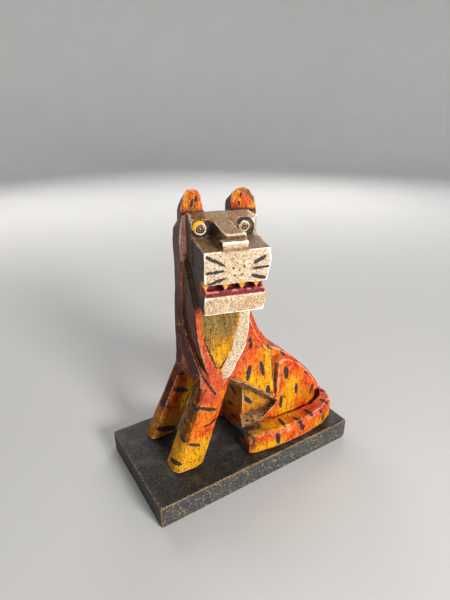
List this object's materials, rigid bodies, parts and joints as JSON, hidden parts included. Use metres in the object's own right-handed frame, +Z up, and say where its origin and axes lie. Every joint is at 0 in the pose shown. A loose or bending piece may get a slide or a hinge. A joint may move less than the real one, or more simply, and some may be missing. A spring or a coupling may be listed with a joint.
{
  "type": "carved wooden tiger",
  "caption": "Carved and painted wooden tiger, seated with its head turned to its left and its tail laid round one haunch, on a plain rectangular board.",
  "frame": {"origin": "centre of the overall bounding box on the board's underside. The muzzle reaches 2.7 mm past the board, so this is 1.3 mm towards +X from the board's own middle", "axes": "+Z up, the body faces -Y along the board's length, and the head is turned towards +X"},
  "size_m": [0.1148, 0.21, 0.2637],
  "materials": {
    "painted_figure": "hand-brushed satin paint, orange-red and yellow with blue-black stripes, worn at the edges",
    "painted_board": "thin dark paint, matt, rubbed through to tan along the edges"
  },
  "bodies": {
    "root": {"tiger": "painted_figure", "plinth_board": "painted_board"}
  },
  "joints": []
}
